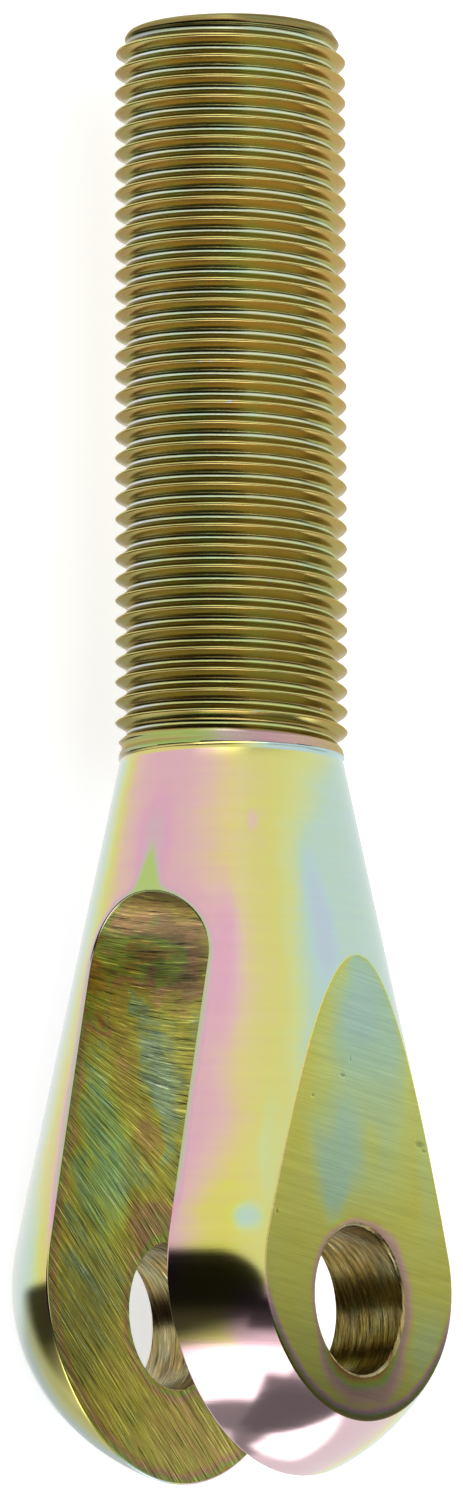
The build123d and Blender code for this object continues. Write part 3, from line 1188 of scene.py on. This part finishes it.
def finish(kind):
    """The material for one kind of machined surface, made the first time that it's wanted."""
    name, make = FINISHES[kind]
    if name not in bpy.data.materials:
        groups = bpy.data.node_groups
        film = groups.get("chromate film") or film_group(bpy.context.scene.rod_end_colours)
        marks = groups.get("tool marks") or marks_group()
        make(*metal(name), film, marks)
    return bpy.data.materials[name]


# ---------------------------------------------------------------- the operators


def place(mesh, name):
    """Puts a mesh in the scene as an object at the origin."""
    piece = bpy.data.objects.new(name, mesh)
    bpy.context.scene.collection.objects.link(piece)
    return piece


class RODEND_OT_thread(bpy.types.Operator):
    """Rolls the thread, from the neck to the chamfered end"""

    bl_idname = "rod_end.thread"
    bl_label = "Thread"

    def execute(self, context):
        thread, fork = context.scene.rod_end_thread, context.scene.rod_end_fork
        end_x, end_r = end_ring(thread)
        mesh = grow("thread_blank", thread_tree(), {
            "Major Radius": thread.major_radius, "Pitch": thread.pitch,
            "Crest Width": thread.crest_width, "Crest Edge": thread.crest_edge,
            "Root Radius": thread.root_radius, "Flank Angle": thread.flank_angle,
            "Start": fork.neck_to_pin + thread.neck_step, "End": end_x,
            "Crest At": thread.crest_at, "Lead Radius": end_r,
            "Lead Slope": math.tan(thread.lead_angle),
            "Neck Radius": fork.neck_radius + thread.neck_rise, "Neck Land": thread.neck_land,
            "Run-out": thread.run_out, "Hand": 1.0 if thread.left_hand else -1.0,
            "Columns": fork.columns * 4, "Material": finish(THREADED)})
        place(mesh, "thread_blank")
        return {"FINISHED"}


class RODEND_OT_fork(bpy.types.Operator):
    """Turns the fork, cuts its slot and flats, bores it for the pin, and faces the shank's end"""

    bl_idname = "rod_end.fork"
    bl_label = "Fork"

    def execute(self, context):
        thread, fork = context.scene.rod_end_thread, context.scene.rod_end_fork
        skin, parts = fork_skin(fork)
        place(skin.mesh("fork_blank", edge_lines(fork, parts)), "fork_blank")
        place(end_skin(thread, fork).mesh("end_blank"), "end_blank")
        place(neck_skin(thread, fork).mesh("neck_blank"), "neck_blank")
        return {"FINISHED"}


def rows_of(items, field, width, sort=np.float32):
    """One field of a mesh's points, edges or attribute, a row for each."""
    data = np.empty(len(items) * width, dtype=sort)
    items.foreach_get(field, data)
    return data.reshape(-1, width)


# what the blanks carry: name, type, field, width, and the value where a blank has none
CARRIED = (
    ("own_normal", "FLOAT_VECTOR", "vector", 3, 0.0), ("edge_distance", "FLOAT", "value", 1, NO_EDGE),
    ("groove", "FLOAT", "value", 1, 0.0))


def read_mesh(mesh, kind=None):
    """Points, faces and finishes of a mesh, and what its points carry."""
    points = rows_of(mesh.vertices, "co", 3, np.float64)
    faces = [list(p.vertices) for p in mesh.polygons]
    kinds = [p.material_index if kind is None else kind for p in mesh.polygons]
    carried = [
        rows_of(mesh.attributes[name].data, field, width) if name in mesh.attributes
        else np.full((len(points), width), default, dtype=np.float32)
        for name, _, field, width, default in CARRIED]
    return points, faces, kinds, carried


class RODEND_OT_join(bpy.types.Operator):
    """Welds the thread, the fork and the end face into one closed piece"""

    bl_idname = "rod_end.join"
    bl_label = "Rod End"

    def execute(self, context):
        fork, thread = context.scene.rod_end_fork, context.scene.rod_end_thread
        names = ("fork_blank", "neck_blank", "end_blank", "thread_blank")
        blanks = [bpy.data.objects.get(name) for name in names]
        if None in blanks:
            raise RuntimeError("make the thread and the fork first")
        read = [read_mesh(b.data, THREADED if b.name == "thread_blank" else None) for b in blanks]
        shift, faces, kinds = 0, [], []
        for points, some, sorts, _ in read:
            faces += [[c + shift for c in face] for face in some]
            kinds += sorts
            shift += len(points)
        mesh = bpy.data.meshes.new("clevis_rod_end_dressed")
        mesh.from_pydata(np.concatenate([r[0] for r in read]), [], faces)
        mesh.polygons.foreach_set("material_index", kinds)
        mesh.polygons.foreach_set("use_smooth", [True] * len(faces))
        for k, (name, sort, field, _, _) in enumerate(CARRIED):
            layer = mesh.attributes.new(name, sort, "POINT")
            layer.data.foreach_set(field, np.concatenate([r[3][k] for r in read]).ravel())
        seams = (fork.neck_to_pin, fork.neck_to_pin + thread.neck_step, end_ring(thread)[0])
        solid = bmesh.new()
        solid.from_mesh(mesh)
        close = [v for v in solid.verts if min(abs(v.co.x - x) for x in seams) < WELD]
        bmesh.ops.remove_doubles(solid, verts=close, dist=WELD)
        bmesh.ops.dissolve_degenerate(solid, edges=solid.edges, dist=1e-8)
        loose = [e for e in solid.edges if not e.is_manifold]
        if loose:
            where = sorted({tuple(round(c / MM, 2) for c in e.verts[0].co) for e in loose})
            raise RuntimeError(f"the piece isn't closed: {len(loose)} edges, {where[:6]}")
        if solid.calc_volume(signed=True) < 0.0:
            raise RuntimeError("the piece is inside out")
        solid.to_mesh(mesh)
        solid.free()
        self.set_normals(mesh, seams[0], seams[1])
        for kind in sorted(FINISHES):
            mesh.materials.append(finish(kind))
        piece = place(mesh, "clevis_rod_end_dressed")
        for blank in blanks:
            bpy.data.objects.remove(blank)
        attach(piece, "root")
        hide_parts(NODE)
        return {"FINISHED"}

    @staticmethod
    def set_normals(mesh, low, high):
        """Gives the fork its exact normals and leaves the thread its own."""
        normals = rows_of(mesh.attributes["own_normal"].data, "vector", 3)
        x = rows_of(mesh.vertices, "co", 3)[:, 0]
        neck = (x > low - WELD) & (x < high + WELD)
        # a zero normal leaves the shading to the mesh, and the neck's rings stay sharp
        normals[neck] = 0.0
        one_end, other_end = rows_of(mesh.edges, "vertices", 2, np.int32).T
        level = np.abs(x[one_end] - x[other_end]) < WELD
        sharp = neck[one_end] & neck[other_end] & level
        mesh.edges.foreach_set("use_edge_sharp", sharp)
        mesh.attributes.remove(mesh.attributes["own_normal"])
        mesh.normals_split_custom_set_from_vertices([tuple(n) for n in normals])


class RODEND_OT_stage(bpy.types.Operator):
    """Lays the floor, hangs the light and sets up the camera"""

    bl_idname = "rod_end.stage"
    bl_label = "Studio"

    def execute(self, context):
        studio = context.scene.rod_end_studio
        self.floor(studio)
        right, up, back = self.camera(context, studio)
        self.light(context, studio, right, up, back)
        context.scene.view_settings.view_transform = "Standard"
        return {"FINISHED"}

    @staticmethod
    def floor(studio):
        """A large plain floor under the part."""
        half, z = studio.floor_width / 2, CAD_BOX[0][2]
        mesh = bpy.data.meshes.new("floor")
        mesh.from_pydata([(-half, -half, z), (half, -half, z), (half, half, z), (-half, half, z)],
                         [], [(0, 1, 2, 3)])
        floor = place(mesh, "floor")
        material = bpy.data.materials.new("floor")
        material.use_nodes = True
        shader = material.node_tree.nodes["Principled BSDF"]
        shader.inputs["Base Color"].default_value = (*studio.floor, 1.0)
        shader.inputs["Roughness"].default_value = 0.9
        shader.inputs["Emission Color"].default_value = (1.0, 1.0, 1.0, 1.0)
        shader.inputs["Emission Strength"].default_value = studio.floor_glow
        mesh.materials.append(material)
        floor.visible_glossy = False

    @staticmethod
    def camera(context, studio):
        """A long lens that looks down on the part and a little way up the shank."""
        c, s = math.cos(studio.swing), math.sin(studio.swing)
        outward, shank = Vector((0.0, c, s)), Vector((1.0, 0.0, 0.0))
        right = Vector((0.0, -s, c))
        c, s = math.cos(studio.tilt), math.sin(studio.tilt)
        back, up = outward * c - shank * s, shank * c + outward * s
        c, s = math.cos(studio.roll), math.sin(studio.roll)
        right, up = right * c - up * s, up * c + right * s
        data = bpy.data.cameras.new("camera")
        data.lens = studio.lens
        data.sensor_width = 36.0
        camera = bpy.data.objects.new("camera", data)
        stand = shank * studio.station + outward * studio.distance
        camera.matrix_world = Matrix((
            (right.x, up.x, back.x, stand.x), (right.y, up.y, back.y, stand.y),
            (right.z, up.z, back.z, stand.z), (0.0, 0.0, 0.0, 1.0)))
        context.scene.collection.objects.link(camera)
        context.scene.camera = camera
        return right, up, back

    @staticmethod
    def light(context, studio, right, up, back):
        """White walls all round, with a dark gap where the camera stands and soft boxes by it."""
        world = bpy.data.worlds.new("studio")
        context.scene.world = world
        world.use_nodes = True
        tree = world.node_tree
        tree.nodes.clear()
        w = Wiring(tree)
        way = w.made("ShaderNodeTexCoord", out="Generated")

        def share(axis):
            return w.made("ShaderNodeVectorMath", {0: way, 1: tuple(axis)}, out="Value",
                          operation="DOT_PRODUCT")

        # where the light comes from, in degrees right of the camera, above it, and up the shank
        swing = w.math("ARCTAN2", share(right), share(back)) * DEGREES
        rise = w.math("ARCSINE", share(up)) * DEGREES
        along = w.math("ARCSINE", w.split(way)[0]) * DEGREES

        def patch(left_end, right_end, low, high, soft):
            across = w.ramp(swing, left_end - soft, left_end + soft)
            across = across * w.ramp(swing, right_end + soft, right_end - soft)
            upward = w.ramp(rise, low - soft, low + soft) * w.ramp(rise, high + soft, high - soft)
            return across * upward

        # grey screens and soft boxes: their ends, their softness, and how bright they are
        side = patch(90.0, 116.0, -14.0, 24.0, 7.0) * w.ramp(along, 18.0, 10.0)
        level = w.mix(side, studio.walls, 0.5)
        for *ends, bright in (
                (-62.0, 190.0, -95.0, -69.5, 2.5, 0.30), (-190.0, -140.0, -45.0, -9.0, 5.0, 0.62),
                (-44.0, 42.0, -68.0, -38.0, 2.5, 2.8), (112.0, 156.0, -77.0, -52.0, 3.0, 2.8),
                (24.0, 111.0, -85.0, -52.0, 3.0, 0.17), (-26.0, 26.0, 53.0, 62.0, 1.5, 2.2)):
            level = w.mix(patch(*ends), level, bright)
        # the dark gap, with a round corner and a leaning edge
        over = w.max(swing + 12.0, 0.0) / 30.0
        upper = w.max(rise + 3.0, 0.0) / 30.0
        corner = w.math("SQRT", over * over + upper * upper)
        lean = w.ramp(swing, -34.0, 20.0, 9.0, -6.0, smooth=False) * w.ramp(swing, -90.0, -50.0)
        dark = w.ramp(corner, 1.06, 0.92) * w.ramp(rise + lean, -43.0, -18.0)
        dark = dark * w.ramp(swing, -148.0, -127.0)
        top = w.ramp(swing, -80.0, -38.0, 4.5, 18.0, smooth=False)
        dark = dark * w.ramp(along, top + 1.5, top - 1.5)
        dark = w.max(dark, patch(6.0, 92.0, -29.0, -4.0, 4.0))
        least = w.max(w.ramp(swing, -80.0, -110.0, 0.008, 0.05),
                      w.ramp(rise, -8.0, -24.0, 0.008, 0.06))
        level = w.mix(dark, level, least)
        # far up the shank it is brighter to the left and dimmer to the right
        steep = w.ramp(along, 36.0, 42.0)
        stronger = w.ramp(swing, -58.0, -40.0) * w.ramp(swing, 14.0, -2.0)
        weaker = w.ramp(swing, 8.0, 28.0) * w.ramp(swing, 140.0, 110.0)
        level = level * w.mix(stronger * steep, 1.0, 1.45)
        level = level * w.mix(weaker * steep, 1.0, 0.7)
        sky = w.made("ShaderNodeBackground", {"Color": (1.0, 1.0, 1.0, 1.0), "Strength": level})
        w.add("ShaderNodeOutputWorld", {"Surface": sky})


class RODEND_PT_panel(bpy.types.Panel):
    """Sizes, colours and buttons for the rod end"""

    bl_idname = "RODEND_PT_panel"
    bl_label = "Clevis Rod End"
    bl_space_type = "VIEW_3D"
    bl_region_type = "UI"
    bl_category = "Rod End"

    def draw(self, context):
        layout = self.layout
        for operator in OPERATORS:
            layout.operator(operator.bl_idname)
        for name, _ in SETTINGS:
            box = layout.box()
            settings = getattr(context.scene, name)
            for key in settings.__annotations__:
                box.prop(settings, key)


OPERATORS = (RODEND_OT_thread, RODEND_OT_fork, RODEND_OT_join, RODEND_OT_stage)
SETTINGS = (
    ("rod_end_thread", ThreadSizes), ("rod_end_fork", ForkSizes),
    ("rod_end_colours", FinishColours), ("rod_end_studio", StudioSettings))


def register():
    """Adds the classes and the scene's settings to Blender."""
    for name, settings in SETTINGS:
        bpy.utils.register_class(settings)
        setattr(bpy.types.Scene, name, bpy.props.PointerProperty(type=settings))
    for operator in OPERATORS:
        bpy.utils.register_class(operator)
    bpy.utils.register_class(RODEND_PT_panel)


def unregister():
    """Takes them out again."""
    bpy.utils.unregister_class(RODEND_PT_panel)
    for operator in reversed(OPERATORS):
        bpy.utils.unregister_class(operator)
    for name, settings in reversed(SETTINGS):
        delattr(bpy.types.Scene, name)
        bpy.utils.unregister_class(settings)


def main():
    """Builds the part and its studio."""
    register()
    bpy.ops.rod_end.stage()
    bpy.ops.rod_end.thread()
    bpy.ops.rod_end.fork()
    bpy.ops.rod_end.join()


if __name__ == "__main__":
    main()
